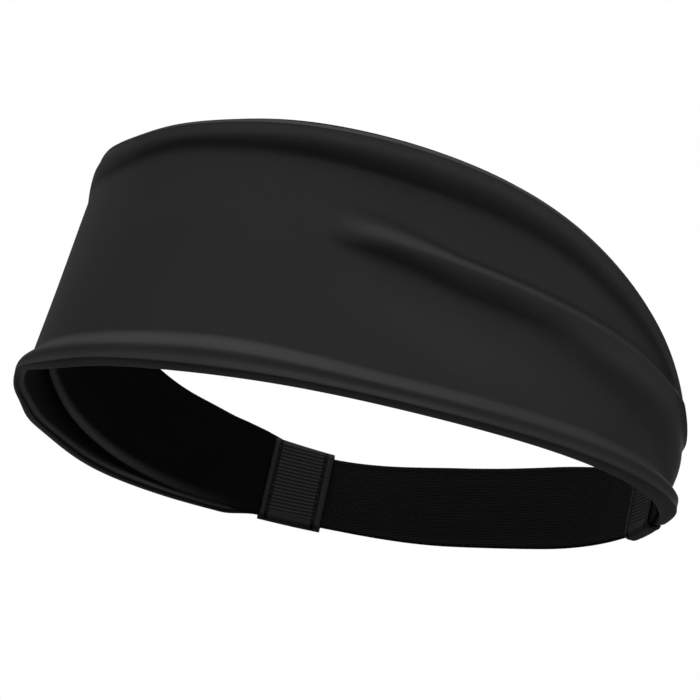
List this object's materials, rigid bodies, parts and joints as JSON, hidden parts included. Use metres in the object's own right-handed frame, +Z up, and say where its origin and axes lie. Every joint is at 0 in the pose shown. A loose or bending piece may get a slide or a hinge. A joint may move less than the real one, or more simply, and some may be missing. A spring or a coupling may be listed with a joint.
{
  "type": "sports headband",
  "caption": "Wide stretch-knit sports headband with soft rolled edges, a separate liner, two ribbed tab sleeves and a woven elastic strap at the back.",
  "frame": {"origin": "centre of the bounding box's base, on the plane that the lower rim stands on", "axes": "+Z up, through the opening for the head; -Y towards the front of the band, at the forehead; +X towards the wearer's left"},
  "size_m": [0.2056, 0.1748, 0.0768],
  "materials": {
    "outer_fabric": "smooth fine stretch knit, near-black, soft sheen on the rolled edges",
    "liner_fabric": "matt fine knit, black",
    "ribbed_ribbon": "ribbed ribbon, ribs along the strap, near-black",
    "woven_elastic": "matt woven elastic, black",
    "sewing_thread": "spun polyester sewing thread, black"
  },
  "bodies": {
    "band": {"outer_band": "outer_fabric", "inner_liner": "liner_fabric", "left_tab_sleeve": "ribbed_ribbon", "right_tab_sleeve": "ribbed_ribbon", "left_band_seam_needle_thread": "sewing_thread", "left_band_seam_bobbin_thread": "sewing_thread", "left_strap_seam_needle_thread": "sewing_thread", "left_strap_seam_bobbin_thread": "sewing_thread", "right_band_seam_needle_thread": "sewing_thread", "right_band_seam_bobbin_thread": "sewing_thread", "right_strap_seam_needle_thread": "sewing_thread", "right_strap_seam_bobbin_thread": "sewing_thread"},
    "strap": {"back_strap": "woven_elastic"}
  },
  "joints": [
    {"name": "back_strap_stretch", "type": "slide", "parent": "band", "child": "strap", "axis": [0, 1, 0], "range_m": [0, 0.04], "stiffness_N_per_m": 250, "deforming": ["back_strap"]}
  ]
}
